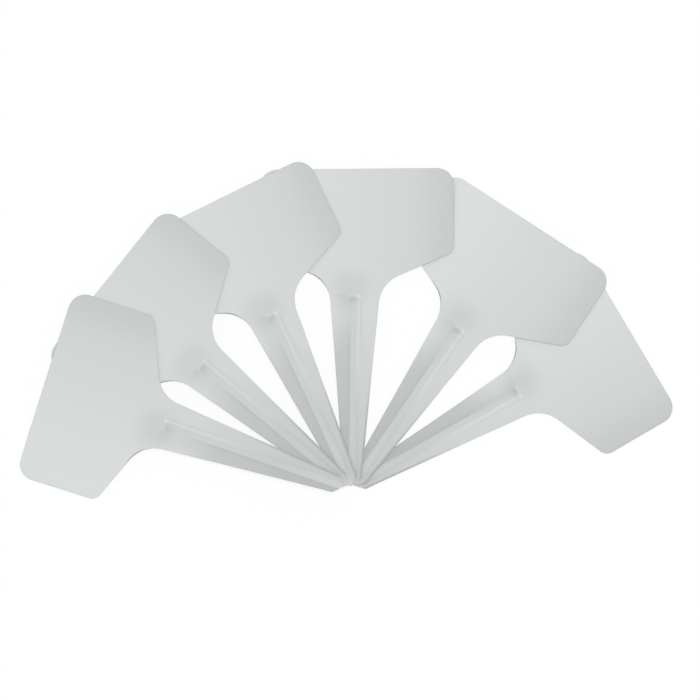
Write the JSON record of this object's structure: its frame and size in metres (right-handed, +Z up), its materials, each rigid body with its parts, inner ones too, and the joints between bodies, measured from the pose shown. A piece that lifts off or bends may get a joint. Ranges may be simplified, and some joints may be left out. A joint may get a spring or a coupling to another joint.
{
  "type": "plant label stake",
  "caption": "Fan of plain T-shaped plastic plant labels, each a wide bowed writing head on a tapering channelled stake that pushes into soil; loose, laid over one another with points together.",
  "frame": {"origin": "on the table, under the middle of the fan's box", "axes": "+Z up from the table, +Y from the gathered points towards the heads, +X to the right along the fan's width"},
  "size_m": [0.2064, 0.1064, 0.0087],
  "materials": {
    "label_plastic": "satin, fine grain"
  },
  "bodies": {
    "label_6": {"label_6": "label_plastic"},
    "label_5": {"label_5": "label_plastic"},
    "label_4": {"label_4": "label_plastic"},
    "label_3": {"label_3": "label_plastic"},
    "label_2": {"label_2": "label_plastic"},
    "label_1": {"label_1": "label_plastic"}
  },
  "joints": [
    {"name": "label_5_lift", "type": "slide", "parent": "label_6", "child": "label_5", "axis": [0, 0, 1], "range_m": [0, 0.04]},
    {"name": "label_4_lift", "type": "slide", "parent": "label_5", "child": "label_4", "axis": [0, 0, 1], "range_m": [0, 0.04]},
    {"name": "label_3_lift", "type": "slide", "parent": "label_4", "child": "label_3", "axis": [0, 0, 1], "range_m": [0, 0.04]},
    {"name": "label_2_lift", "type": "slide", "parent": "label_3", "child": "label_2", "axis": [0, 0, 1], "range_m": [0, 0.04]},
    {"name": "label_1_lift", "type": "slide", "parent": "label_2", "child": "label_1", "axis": [0, 0, 1], "range_m": [0, 0.04]}
  ]
}
